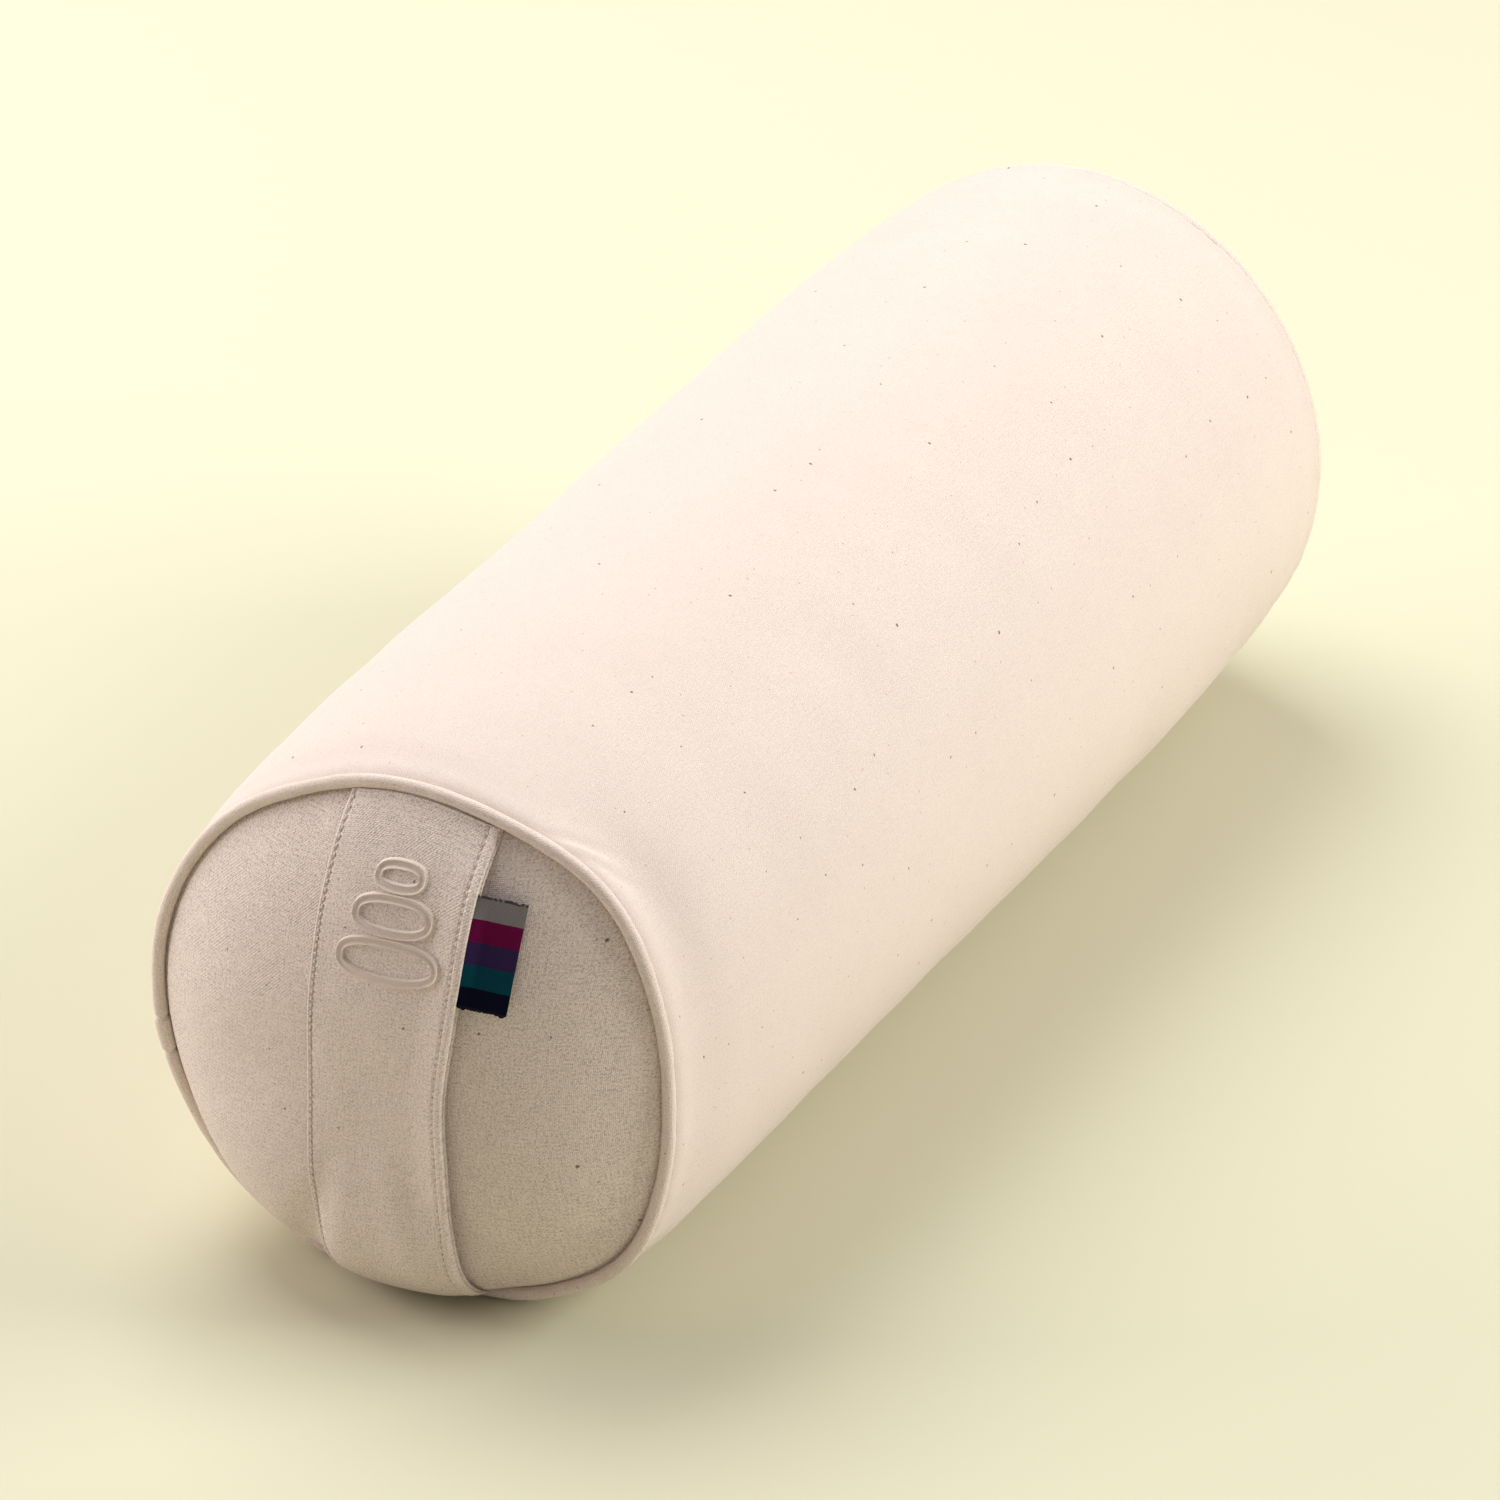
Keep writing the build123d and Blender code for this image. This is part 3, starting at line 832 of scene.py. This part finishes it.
def inner_tube(name, gap, half_length, ripple, thickness):
    """A sewn tube inside the cover, gap below the cover's outer face."""
    y_rows = np.linspace(-half_length, half_length, 120)
    angles = full_turn(240)
    y, angle = grid(y_rows, angles)
    behind = SEAM_Y - np.abs(y)
    ripples = ripple * (waves(y, angle * INNER_ROUND, 81, 14, 60) - 1.6)
    relief = tube_relief(angle, y).clip(-3, 0) + ripples
    fall = roll_radius(behind) - SEAM_STEP * np.exp(-np.maximum(behind, 0) / 9.0) * 0.6
    radius = fall - gap + relief
    points = settle_roll(radius * np.cos(angle), y, radius * np.sin(angle), gap + 1.2)
    uv = uv_grid(y_rows, np.append(angles, TURN) * INNER_ROUND)
    return grid_object(name, points, uv, cloth=thickness)


def inner_end(name, end, rim, height, skirt, ripple):
    """A sewn disc inside a cover's end, with the skirt that its tube is sewn to."""
    shares = joined(np.linspace(0.02, 0.9, 36), np.linspace(0.91, 1.0, 12))
    share, angle = grid(shares, full_turn(220))
    x, z = rim * share * np.cos(angle), rim * share * np.sin(angle)
    relief = ripple * (waves(x, z, 90 + end, 14, 60) - 1.6) * ease(1 - share, 0.01, 0.2)
    out = height * (1 - share ** DOME_POWER) + relief + 0.8 * panel_sag(x, z)
    steps = np.linspace(0, skirt, 5)[1:, None]
    x, z = (joined(value, value[-1:] + 0 * steps) for value in (x, z))
    out = joined(out, 0 * out[-1:] - steps)
    return disc_object(name, end, x, z, out, 3.5, TICKING)


def build_filling():
    """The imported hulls, as one lumpy body from end to end."""
    shares = np.linspace(0.03, 1, 40)
    rim = RIM - 5.5
    end_out = filling_high[1] - SEAM_Y
    cap_r = rim * shares
    cap_y = SEAM_Y + end_out * (1 - shares ** DOME_POWER)
    tube_y = np.linspace(SEAM_Y - 4, 0, 90)
    tube_r = roll_radius(SEAM_Y - tube_y) - 6.0 - 4.0 * np.exp(-(SEAM_Y - tube_y) / 9)
    r = joined(cap_r, tube_r, tube_r[-2::-1], cap_r[::-1])
    y = joined(cap_y, tube_y, -tube_y[-2::-1], -cap_y[::-1])
    angles = full_turn(360)
    radius = grid(r, angles)[0]
    y, angle = grid(y, angles)
    lumps = 0.5 * waves(y, angle * INNER_ROUND, 95, 7, 22) - 0.9
    relief = tube_relief(angle, y).clip(-3, 0) * ease(SEAM_Y - np.abs(y), 5, 30)
    radius = np.maximum(radius + (lumps + relief) * ease(radius, 5, 40), 1.0)
    points = settle_roll(radius * np.cos(angle), y, radius * np.sin(angle), 6.4)
    uv = uv_grid(np.arange(len(r)) * 3.0, np.append(angles, TURN) * INNER_ROUND)
    return grid_object("packed_hulls", points, uv, caps=True)


# ---- materials ----
class Nodes:
    """A material, and short ways to add and join its shader nodes."""

    def __init__(self, name):
        self.material = bpy.data.materials.new(name)
        self.material.use_nodes = True
        self.tree = self.material.node_tree
        self.shader = self.tree.nodes["Principled BSDF"]

    def put(self, node, inputs):
        """Joins a socket to each input of a node, or sets its value."""
        for key, item in inputs.items():
            target = node.inputs[key]
            if hasattr(item, "links"):
                self.tree.links.new(item, target)
            else:
                target.default_value = (*item, 1) if target.type == "RGBA" else item

    def add(self, kind, inputs, **settings):
        """Adds a node and returns its outputs."""
        node = self.tree.nodes.new(f"ShaderNode{kind}")
        for key, value in settings.items():
            setattr(node, key, value)
        self.put(node, inputs)
        return node.outputs

    def math(self, operation, a, b=0.0, c=0.0):
        return self.add("Math", {0: a, 1: b, 2: c}, operation=operation)[0]

    def times(self, a, b, c=0.0):
        """a times b, plus c."""
        return self.math("MULTIPLY_ADD", a, b, c)

    def coordinates(self, kind="UV"):
        """The chosen coordinates, whole and as separate lengths."""
        whole = self.add("TexCoord", {})[kind]
        parts = self.add("SeparateXYZ", {0: whole})
        return whole, parts[0], parts[1]

    def wave(self, length, pitch, drift=0.0):
        """A sine along a length, between -1 and 1."""
        return self.math("SINE", self.times(length, TURN / pitch, drift))

    def noise(self, vector, scale, detail=2.0, roughness=0.5):
        inputs = {"Vector": vector, "Scale": scale, "Detail": detail, "Roughness": roughness}
        return self.add("TexNoise", inputs)["Fac"]

    def ramp(self, factor, stops, constant=False):
        output = self.add("ValToRGB", {"Fac": factor})["Color"]
        bar = output.node.color_ramp
        bar.interpolation = "CONSTANT" if constant else "LINEAR"
        while len(bar.elements) < len(stops):
            bar.elements.new(0.5)
        for element, (place, colour) in zip(bar.elements, stops):
            element.position = place
            element.color = (*colour, 1)
        return output

    def fuzz(self, vector, scale, dark, light, detail=3.0, roughness=0.5, high=0.7):
        """The noise of fibres, and a colour that goes from dark to light with it."""
        noise = self.noise(vector, scale, detail, roughness)
        return noise, self.ramp(noise, ((0.3, dark), (high, light)))

    def mix(self, factor, a, b):
        return self.add("Mix", {0: factor, 6: a, 7: b}, data_type="RGBA")[2]

    def vector(self, operation, a, b):
        return self.add("VectorMath", {0: a, 1: b}, operation=operation)[0]

    def stretch(self, vector, scale):
        return self.vector("MULTIPLY", vector, scale)

    def cells(self, vector, scale):
        """Scattered cells: the distance to the nearest one, and two random values of it."""
        inputs = {"Vector": vector, "Scale": scale}
        cell = self.add("TexVoronoi", inputs, voronoi_dimensions="2D")
        pick = self.add("SeparateColor", {0: cell["Color"]})
        return cell["Distance"], pick[0], pick[1]

    def flecks(self, cloth, vector, spacing, smallest, largest, share, colour, strength):
        """Scattered specks, spacing apart at most, in a share of the places."""
        distance, large, rare = self.cells(vector, 1 / spacing)
        size = self.times(large, (largest - smallest) / spacing, smallest / spacing)
        near = self.math("SUBTRACT", size, distance)
        spot = self.times(near, 3 * spacing / (smallest + largest))
        spot = self.math("MINIMUM", self.math("MAXIMUM", spot, 0.0), strength)
        chosen = self.math("LESS_THAN", rare, share)
        return self.mix(self.times(spot, chosen), cloth, colour)

    def paint(self, colour, roughness, specular, **inputs):
        self.put(self.shader, {"Base Color": colour, "Roughness": roughness,
                               "Specular IOR Level": specular, **inputs})
        return self.material

    def finish(self, colour, height, distance, roughness, strength=0.8, sheen=0.0,
               metallic=0.0, specular=0.2):
        """Colour, relief and finish of the surface."""
        relief = {"Distance": distance * MM, "Strength": strength, "Height": height}
        inputs = {"Normal": self.add("Bump", relief)[0], "Metallic": metallic,
                  "Sheen Weight": sheen, "Sheen Roughness": 0.5}
        return self.paint(colour, roughness, specular, **inputs)


def linear(*srgb):
    """A colour given as 0-255 sRGB, in Blender's linear values."""
    values = [channel / 255 for channel in srgb]
    return tuple(v / 12.92 if v <= 0.04045 else ((v + 0.055) / 1.055) ** 2.4 for v in values)


def shaded(colour, share):
    return tuple(min(1.0, channel * share) for channel in colour)


def canvas_material(name, colour, contrast, fleck=1.0, relief=0.16):
    """Unbleached cotton twill: warp and weft, diagonal ribs, slubs and seed flecks.
    Its coordinates are the piece's flat cloth, in millimetres."""
    thread = 0.62
    n = Nodes(name)
    uv, u, v = n.coordinates()
    drift = n.times(n.noise(uv, 0.3, 2.0), 3.0)
    warp = n.wave(u, thread, drift)
    weft = n.wave(v, thread, drift)
    twill = n.wave(n.math("SUBTRACT", u, v), 2.1 * thread, drift)
    patchy = n.ramp(n.noise(uv, 0.06, 2.0), ((0.38, (0.25,) * 3), (0.62, (1.0,) * 3)))
    twill = n.times(twill, patchy)
    slub_u = n.noise(n.stretch(uv, (0.12, 1.7, 1)), 1.0, 3.0, 0.6)
    slub_v = n.noise(n.stretch(uv, (1.7, 0.12, 1)), 1.0, 3.0, 0.6)
    slubs = n.math("ADD", slub_u, slub_v)
    grain = n.noise(uv, 1.2, 3.0, 0.7)
    weave = n.times(warp, 0.4, n.times(weft, 0.4))
    height = n.times(grain, 2.4, n.times(slubs, 1.6, n.times(twill, 0.6, weave)))
    tone = n.times(grain, 1.9, n.times(slubs, 0.6))
    tone = n.times(twill, 0.07, n.math("SUBTRACT", tone, 1.05))
    dark, light = 1 - 0.20 * contrast, 1 + 0.10 * contrast
    cloth = n.ramp(tone, ((0.18, shaded(colour, dark)), (0.5, colour),
                          (0.85, shaded(colour, light))))
    cloud = n.ramp(n.noise(uv, 0.018, 3.0), ((0.35, (0.0,) * 3), (0.7, (1.0,) * 3)))
    cloth = n.mix(n.times(cloud, 0.07), cloth, shaded(colour, 0.72))
    spots = n.vector("ADD", uv, n.noise(uv, 0.9, 1.0))
    cloth = n.flecks(cloth, spots, 7.5 / fleck, 0.15, 0.5, 0.22, linear(172, 148, 124), 0.6)
    cloth = n.flecks(cloth, spots, 26.0 / fleck, 0.35, 0.8, 0.42, linear(104, 82, 66), 0.85)
    return n.finish(cloth, height, relief, 0.93, sheen=0.10, specular=0.12)


def thread_material(name, colour, pitch, shine=0.25):
    """Twisted or parallel thread, with fine ribs across the stitch and painted shade in the
    grooves between them.
    """
    n = Nodes(name)
    uv, u, v = n.coordinates()
    ribs = n.wave(n.times(v, 0.25, u), pitch)
    fuzz, cloth = n.fuzz(uv, 2.5, shaded(colour, 0.86), colour)
    # painted shade: the colour darkens towards the grooves between the ribs
    cloth = n.mix(n.times(ribs, -0.12, 0.12), cloth, shaded(colour, 0.7))
    return n.finish(cloth, n.times(fuzz, 1.2, ribs), 0.08, 0.62, sheen=shine, specular=0.3)


def label_material():
    """Five woven stripes, from near black at the bottom to grey, with dark ragged edges."""
    n = Nodes("woven_label")
    uv, u, v = n.coordinates()
    stripes = ((0.0, linear(6, 9, 36)), (0.20, linear(0, 66, 80)), (0.40, linear(54, 36, 80)),
               (0.60, linear(109, 8, 66)), (0.80, linear(138, 134, 133)))
    yarn = n.noise(n.stretch(uv, (0.9, 180.0, 1)), 1.0, 3.0)
    ragged = n.times(n.noise(n.stretch(uv, (2.2, 1, 1)), 1.0, 1.0), 0.012, v)
    colour = n.ramp(ragged, stripes, constant=True)
    colour = n.mix(n.times(yarn, 0.25), colour, (0.012, 0.01, 0.014))
    edge = n.math("GREATER_THAN", n.math("ABSOLUTE", n.math("SUBTRACT", v, 0.5)), 0.479)
    ticks = n.math("GREATER_THAN", n.noise(uv, 1.6, 1.0), 0.42)
    colour = n.mix(n.times(n.times(edge, ticks), 0.8), colour, (0.02, 0.02, 0.025))
    ribs = n.times(n.wave(u, 0.5), 0.6, n.wave(v, 1 / 90))
    return n.finish(colour, ribs, 0.09, 0.85, specular=0.05)


def tape_material():
    """Woven zip tape with a herringbone of fine ribs."""
    n = Nodes("zip_tape")
    uv, u, v = n.coordinates()
    ribs = n.wave(n.math("ADD", u, n.math("PINGPONG", v, 1.5)), 0.8)
    fuzz, cloth = n.fuzz(uv, 1.6, linear(214, 196, 176), linear(236, 221, 203), high=0.75)
    return n.finish(cloth, n.times(fuzz, 0.8, ribs), 0.12, 0.85, sheen=0.08)


def plastic_material():
    """Smooth nylon of the zip's spirals."""
    n = Nodes("zip_coil")
    place = n.coordinates("Object")[0]
    cloud, colour = n.fuzz(place, 900.0, linear(214, 198, 178), linear(232, 217, 199), 2.0)
    return n.finish(colour, cloud, 0.02, 0.38, strength=0.3, specular=0.5)


def metal_material():
    """Nickel-plated zinc, lightly brushed and dulled in use."""
    n = Nodes("zip_metal")
    place = n.coordinates("Object")[0]
    brushed = n.noise(n.stretch(place, (900, 120, 2600)), 1.0, 3.0)
    dull, colour = n.fuzz(place, 420.0, (0.33, 0.32, 0.31), (0.39, 0.38, 0.365))
    return n.finish(colour, brushed, 0.015, n.times(dull, 0.14, 0.16), strength=0.4,
                    metallic=1.0, specular=0.5)


def ticking_material():
    """Tight plain-woven inner cloth."""
    n = Nodes("ticking")
    uv, u, v = n.coordinates()
    weave = n.times(n.wave(u, 0.9), n.wave(v, 0.9))
    fuzz, cloth = n.fuzz(uv, 0.9, linear(226, 219, 204), linear(243, 238, 228), 4.0, 0.7)
    return n.finish(cloth, n.times(fuzz, 1.5, weave), 0.12, 0.9, sheen=0.05)


def cord_material():
    """Twisted cotton cord."""
    n = Nodes("piping_cord")
    uv, u, v = n.coordinates()
    strands = n.wave(n.times(v, 0.8, u), 2.2)
    fuzz, cloth = n.fuzz(uv, 1.8, linear(226, 217, 200), linear(244, 238, 226))
    return n.finish(cloth, n.times(fuzz, 0.8, strands), 0.3, 0.9, sheen=0.1)


def hull_material():
    """Spelt hulls: small overlapping scales in several straw tones, with painted shade
    darkening each scale towards its edges.
    """
    n = Nodes("hull_filling")
    distance, straw, _ = n.cells(n.stretch(n.coordinates()[0], (0.16, 0.34, 1)), 1.0)
    colour = n.ramp(straw, ((0.0, linear(176, 142, 96)), (0.5, linear(206, 176, 128)),
                            (1.0, linear(226, 203, 162))))
    # painted shade: each scale darkens towards its edge, where the scales overlap
    colour = n.mix(n.times(distance, 0.5), colour, linear(120, 92, 60))
    return n.finish(colour, n.math("SUBTRACT", 1.0, distance), 1.2, 0.75, specular=0.3)


zip_metal = metal_material()
# painted shade: the same cotton canvas as the end panels, in a darker colour that darkens the
# tube
shaded_tube_canvas = canvas_material("shaded_tube_canvas", linear(227, 213, 201), contrast=0.55, relief=0.06)
SLOTS = {
    "canvas": canvas_material("cotton_canvas", linear(239, 225, 213), contrast=1.75),
    "piping_canvas": canvas_material("piping_canvas", linear(240, 225, 212), contrast=0.8,
                                     fleck=1.3, relief=0.13),
    "sewing_thread": thread_material("sewing_thread", linear(250, 238, 224), 0.5),
    "embroidery_thread": thread_material("embroidery_thread", linear(250, 236, 221), 0.6, 0.4),
    "woven_label": label_material(),
    "zip_tape": tape_material(),
    "zip_coil": plastic_material(),
    "ticking": ticking_material(),
    "piping_cord": cord_material(),
    "hull_filling": hull_material(),
}


# ---- put the bolster together ----
def dress(piece, material):
    piece.data.materials.clear()
    piece.data.materials.append(material)


def finish_piece(piece, slot, *nodes, body="cover", material=None):
    """Material, body and replaced nodes of a piece; the material comes from its slot unless
    one is given.  A piece with no body is left unattached.
    """
    dress(piece, material or SLOTS[slot])
    if body:
        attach(piece, body)
    if nodes:
        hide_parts(*nodes)
    return piece


ENDS = (("front", -1), ("rear", 1))
padded_pieces = [finish_piece(build_tube(), "canvas", "cover_tube", material=shaded_tube_canvas)]
for word, end in ENDS:
    panel = build_panel(f"{word}_panel_cloth", end)
    padded_pieces.append(finish_piece(panel, "canvas", f"{word}_end_panel"))

for word, end in ENDS:
    sleeve = build_ring(f"{word}_piping_sleeve", end, PIPE, True)
    finish_piece(sleeve, "piping_canvas", f"{word}_piping")
    cord = build_ring(f"{word}_piping_cord", end, CORE, False)
    finish_piece(cord, "piping_cord", f"{word}_piping_core")

for half, lower, upper in (("upper", SPLIT_SHARE, 1.0), ("lower", 0.0, SPLIT_SHARE)):
    top_half = half == "upper"
    face_nodes = [f"handle_{half}_leg"] + (["handle_grip"] if top_half else [])
    lining_nodes = [f"{node}_lining" for node in face_nodes]
    face = build_face(f"handle_{half}_face", lower, upper)
    finish_piece(face, "canvas", *face_nodes, body=None)
    lining = build_lining(f"handle_{half}_lining_band", lower, upper)
    finish_piece(lining, "canvas", *lining_nodes, body=None)
    rows = []
    for right, word in ((False, "left"), (True, "right")):
        row = handle_stitches(f"handle_{half}_{word}_stitches", right, lower, upper)
        stitch_nodes = ["handle_stitching"] if top_half and right else []
        rows.append(finish_piece(row, "sewing_thread", *stitch_nodes, body=None))
    for piece in (face, lining, *rows):
        follow_handle(piece)

for index, pebble in enumerate(PEBBLES):
    outline = build_pebble(f"motif_pebble_{index + 1}", *pebble)
    nodes = ["handle_motif"] if index == 0 else []
    finish_piece(outline, "embroidery_thread", *nodes, body=None)
    follow_handle(outline)

label, label_foot, label_across, label_flat = build_label()
finish_piece(label, "woven_label", "side_label", body=None)
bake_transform(label)

for side, word in ((1, "upper"), (-1, "lower")):
    tape = build_tape(f"zip_{word}_tape_cloth", side)
    finish_piece(tape, "zip_tape", f"zip_tape_{word}")
    coil = build_coil(f"zip_{word}_spiral", side)
    finish_piece(coil, "zip_coil", f"zip_coil_{word}")
    finish_piece(zip_stitches(f"zip_{word}_stitches", side), "sewing_thread")
for word, y in (("top", ZIP_START - ZIP_EASE), ("bottom", ZIP_END + ZIP_EASE)):
    finish_piece(zip_end_stitches(f"zip_{word}_end_stitches", y), "sewing_thread")

liner = inner_tube("liner_tube_cloth", CANVAS + 1.6, liner_high[1], 0.35, TICKING)
finish_piece(liner, "ticking", "liner_tube")
liner_rim = liner_end_high[0]
liner_height = liner_end_high[1] - SEAM_Y - 1.0
for word, end in ENDS:
    disc = inner_end(f"liner_{word}_end_cloth", end, liner_rim, liner_height, 6.0, 0.3)
    finish_piece(disc, "ticking", f"liner_{word}_end")
finish_piece(build_filling(), "hull_filling", "filling")

for node in ("zip_slider", "zip_pull", "zip_top_stops", "zip_bottom_stop"):
    dress(bpy.data.objects[node], zip_metal)


# ---- floor, light and camera ----
MIDDLE = Vector((0, 0, AXIS_Z * MM))


def build_stage():
    reach = 12.0
    corners = [(-reach, -reach, 0), (reach, -reach, 0), (reach, reach, 0), (-reach, reach, 0)]
    mesh = bpy.data.meshes.new("floor")
    mesh.from_pydata(corners, [], [(0, 1, 2, 3)])
    floor = add_object("floor", mesh)
    mesh.materials.append(Nodes("floor_paint").paint(linear(216, 214, 186), 1.0, 0.0))


def add_light(name, place, size, watts, colour=(1, 1, 1)):
    data = bpy.data.lights.new(name, "AREA")
    data.shape = "SQUARE"
    data.size = size
    data.energy = watts
    data.color = colour
    light = add_object(name, data)
    light.location = place
    light.rotation_euler = (MIDDLE - Vector(place)).to_track_quat("-Z", "Y").to_euler()


def build_camera():
    """A long lens from the photograph's side; its numbers are fitted to the outline."""
    azimuth, elevation = math.radians(26.5), math.radians(27.96)
    distance, focal, sensor = 4.395, 274.8, 36
    beside, above = -0.0052, -0.0142
    level = math.cos(elevation)
    back = np.array([math.sin(azimuth) * level, -math.cos(azimuth) * level,
                     math.sin(elevation)])
    right = np.array([math.cos(azimuth), math.sin(azimuth), 0])
    up = np.cross(back, right)
    aim = np.array([0, 0, AXIS_Z * MM]) + beside * right + above * up
    data = bpy.data.cameras.new("camera")
    data.lens = focal
    data.sensor_width = sensor
    data.clip_end = 50
    camera = add_object("camera", data)
    turn = Matrix((right, up, back)).transposed().to_4x4()
    camera.matrix_world = Matrix.Translation(aim + back * distance) @ turn
    bpy.context.scene.camera = camera


def build_world():
    world = bpy.data.worlds.new("world")
    world.use_nodes = True
    background = world.node_tree.nodes["Background"]
    background.inputs["Color"].default_value = (1.1, 0.96, 0.99, 1)
    background.inputs["Strength"].default_value = 0.25
    bpy.context.scene.world = world
    bpy.context.scene.view_settings.view_transform = "Standard"


build_stage()
build_world()
add_light("key", (-1.1, 0.7, 2.3), 1.8, 55)
add_light("fill", (2.2, 0.9, 1.3), 1.6, 61)
add_light("side", (-2.2, -0.6, 0.9), 1.6, 37, (1.0, 0.92, 0.97))
build_camera()
